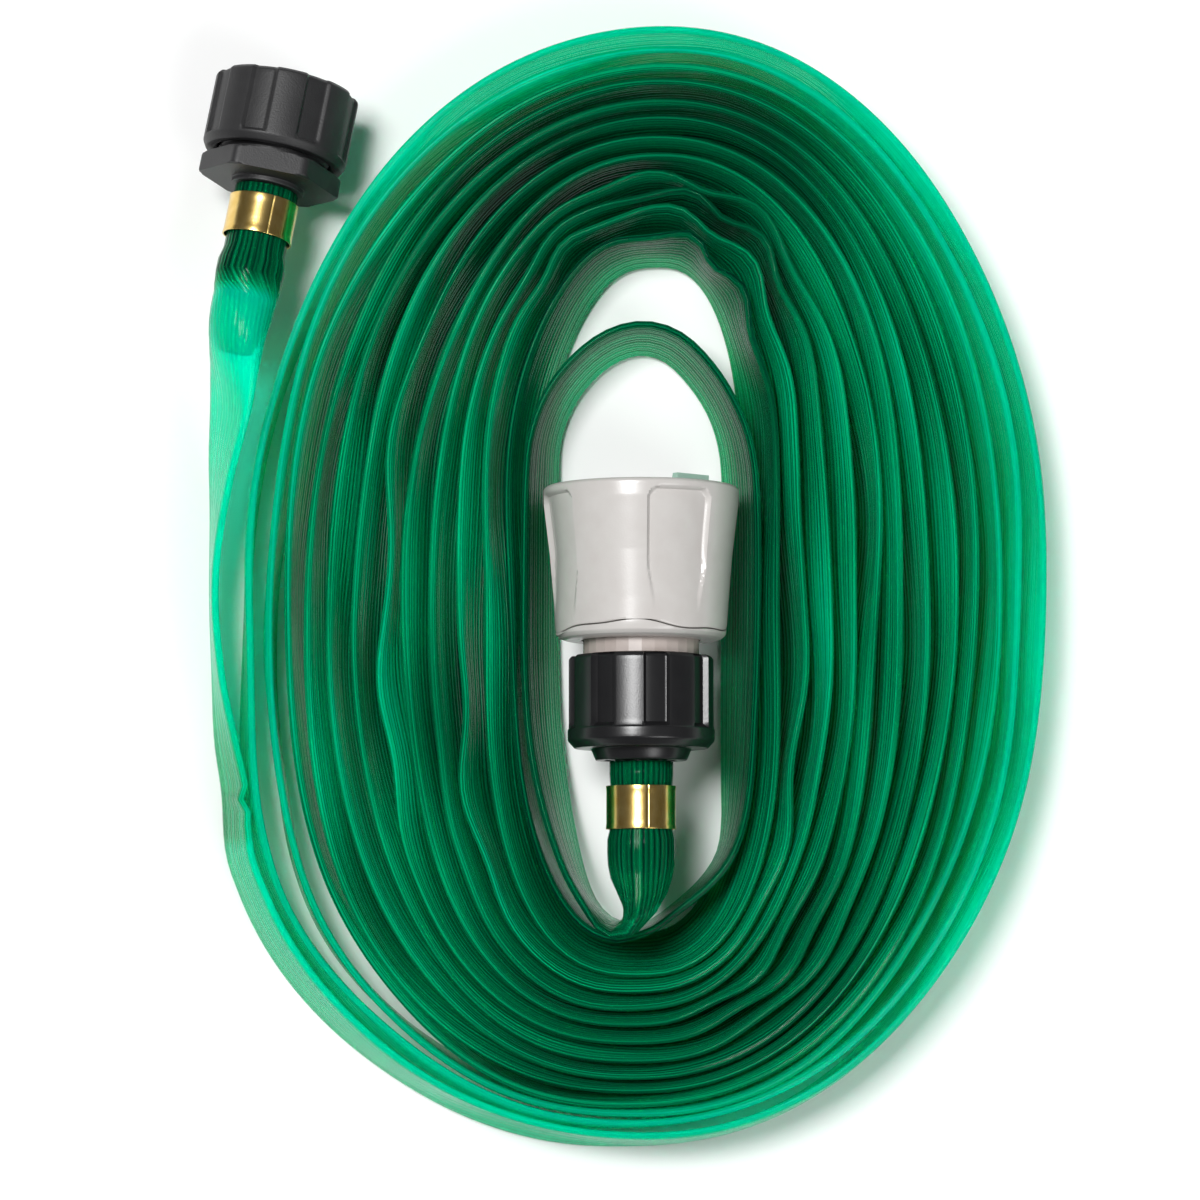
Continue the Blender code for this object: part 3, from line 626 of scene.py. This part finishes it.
def end_shape(r, z, theta):
    """A thread on the stem, and a chamfered hexagon below it."""
    out = r + (np.abs(r - 12.2) < 0.3) * helix(z, theta, 0.8, 12.7, 0.9)
    flange = (z < 0.01) & (z > -4.71) & (r > 9.5)
    sector = (np.degrees(theta) - (33 - 90) + 30) % 60 - 30
    flat = 14.65 / np.cos(np.radians(30 - np.abs(sector)))
    chamfer = 0.9 * smoothstep(np.abs(z + 2.35), 2.0, 2.35) * smoothstep(np.abs(sector), 30, 0)
    limit = np.minimum(flat, 16.6 - chamfer)
    return np.where(flange & (r > 14.0), np.minimum(r, limit), np.minimum(out, 16.85)), z


SPIGOT = [
    (11.2, 13.9), (12.2, 12.9), (12.2, 0.0), (16.85, 0.0), (16.85, -4.7), (8.6, -4.7), (8.6, -5.9),
    (6.2, -5.9), (6.2, -22.3), (6.4, -23.3), (6.4, -28.3), (5.0, -32.3), (4.4, -32.3), (4.4, 13.9),
]
turned(
    "spigot", END, SPIGOT, "hose", ["end_spigot"], matte_black,
    0.25, 0.3, 180, end_shape,
)

TAIL_PIPE = [
    (11.8, -28.7), (11.8, -31.7), (8.4, -31.7), (8.4, -39.3), (6.2, -39.3), (6.2, -55.7),
    (6.4, -56.7), (6.4, -61.7), (5.0, -65.7), (4.4, -65.7), (4.4, -28.7),
]
turned("tap_tail", TAP, TAIL_PIPE, "hose", ["tap_spigot"], black)


def band(name, matrix, top, length, node_name, seam):
    """A brass ferrule with raised rims and a seam."""

    def crimp(r, z, theta):
        middle = (z - top + length / 2) / (length / 2)
        out = r + 0.12 * (np.abs(middle) > 0.8) - 0.05 * np.cos(3 * theta)
        gap = np.exp(-((apart(theta, seam) / 1.2) ** 2)) * 0.18 * (r > 7.9)
        return out - gap, z
    outline = [(8.1, top), (8.1, top - length), (7.72, top - length), (7.72, top)]
    turned(name, matrix, outline, "hose", [node_name], brass, 0.12, 1.2, 240, crimp)


band("tap_band", TAP, -45.5, 10.1, "tap_ferrule", 10 - 90)
band("end_band", END, -8.7, 9.4, "end_ferrule", 20 - 90)

PANELS = [24 + 90 * i - 90 for i in range(4)]


def parting(theta):
    """The wavy edge between the sleeve and its rear ring."""
    return 0.9 * np.sin(3 * theta + 0.6) + 0.35 * np.sin(7 * theta)


def sleeve_shape(r, z, theta):
    """Four sunk grip panels that fade out towards the rear, and a wavy rear edge."""
    recess = np.zeros_like(r)
    for centre in PANELS:
        across = np.abs(apart(theta, centre)) * math.pi / 180 * 22
        side = 7.9 - 1.6 * smoothstep(-z, -6.0, 6.0) - across
        top = 22.3 - z
        corner = 3.0 - np.hypot(np.clip(3.0 - side, 0, None), np.clip(3.0 - top, 0, None))
        depth_in = np.minimum(np.minimum(side, top), corner)
        recess = np.maximum(recess, smoothstep(depth_in, -0.2, 0.45))
    cut = (0.35 + 0.95 * smoothstep(z, -6.0, 12.0)) * smoothstep(z, -7.0, -1.0) * recess * (r > 19.0)
    z = z + np.where(z < -8.0, parting(theta) * smoothstep(-z, 8.0, 8.85), 0)
    return r - cut, z


SLEEVE = [
    (22.2, 24.4), (22.9, 23.7), (22.8, 20.4), (21.3, 8.0), (20.4, -3.0), (20.05, -8.3), (19.9, -8.9),
    (17.9, -8.9), (17.9, 5.3), (13.4, 5.3), (13.4, 6.6), (17.3, 7.0), (17.3, 11.6), (16.4, 12.6),
    (16.4, 15.4), (19.2, 18.0), (21.1, 21.4), (21.1, 24.4),
]
turned(
    "sleeve", TAP, SLEEVE, "sleeve", ["release_sleeve"], grey,
    0.3, 0.55, 360, sleeve_shape,
)


def ring_shape(r, z, theta):
    return r, z + np.where((z > -9.5) & (r > 17.7), parting(theta), 0)


RING = [
    (17.6, -7.8), (17.6, -9.2), (20.0, -9.2), (19.75, -10.3), (18.8, -11.1), (17.6, -11.5), (16.4, -11.6),
    (13.8, -11.6), (13.8, -7.8),
]
turned(
    "sleeve_ring", TAP, RING, "sleeve", ["sleeve_rear_ring"], grey,
    0.25, 0.8, 240, ring_shape,
)

# the sleeve's return spring
SPRING_RADIUS, WIRE = 15.1, 0.55
SPRING_RINGS, WIRE_SIDES = 141, 10
bend = np.linspace(0, TAU * 3.5, SPRING_RINGS)[:, None]
height = np.linspace(-4.3, 4.6, SPRING_RINGS)[:, None]
wire = TAU * np.arange(WIRE_SIDES)[None] / WIRE_SIDES
reach = SPRING_RADIUS + WIRE * np.cos(wire)
coils = np.stack([reach * np.cos(bend), reach * np.sin(bend), height + WIRE * np.sin(wire)], axis=-1)
wire_start = list(range(WIRE_SIDES))[::-1]
wire_end = list(range((SPRING_RINGS - 1) * WIRE_SIDES, SPRING_RINGS * WIRE_SIDES))
spring = mesh_object("spring", coils.reshape(-1, 3) * MM, [*tube(coils).tolist(), wire_start, wire_end])
spring.matrix_world = TAP
spring.data.materials.append(steel)
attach(spring, "connector")
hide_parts("sleeve_spring")
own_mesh(spring)

# CAD pieces that are shown as they are
LOOKS = {
    "nut_washer": rubber, "connector_core": neck_grey, "claw_upper": green,
    "claw_lower": green, "end_cap_washer": rubber,
}
for name, look in LOOKS.items():
    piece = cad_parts[name]
    piece.data.materials.clear()
    piece.data.materials.append(look)


# ------------------------------------------------------------------ floor and light
def floor_material():
    made, tree, shader = new_material("floor")
    noise = node(tree, "ShaderNodeTexNoise", Scale=3.0)
    colour = ramp(tree, noise.outputs["Fac"], [(0.3, (0.93, 0.93, 0.93)), (0.7, (0.95, 0.95, 0.95))])
    tree.links.new(colour, shader.inputs["Base Color"])
    shader.inputs["Roughness"].default_value = 0.9
    shader.inputs["Specular IOR Level"].default_value = 0.1
    return made


floor = mesh_object("floor", [(-3, -3, 0), (3, -3, 0), (3, 3, 0), (-3, 3, 0)], [(0, 1, 2, 3)], smooth=False)
floor.location.z = -0.0003
floor.data.materials.append(floor_material())

world = bpy.data.worlds.new("studio")
bpy.context.scene.world = world
world.use_nodes = True
background = world.node_tree.nodes["Background"]
background.inputs["Color"].default_value = (1.0, 1.0, 1.0, 1.0)
background.inputs["Strength"].default_value = 0.1


def area_light(name, place, target, size, power):
    """A square light that points at the target."""
    data = bpy.data.lights.new(name, "AREA")
    data.shape = "SQUARE"
    data.size = size
    data.energy = power
    made = bpy.data.objects.new(name, data)
    made.location = place
    made.rotation_mode = "QUATERNION"
    made.rotation_quaternion = (Vector(target) - Vector(place)).to_track_quat("-Z", "Y")
    bpy.context.scene.collection.objects.link(made)


area_light("key", (-0.42, 0.42, 1.6), (0, 0, 0), 0.5, 27)
area_light("fill", (0.9, -0.9, 1.5), (0, 0, 0), 1.0, 14)
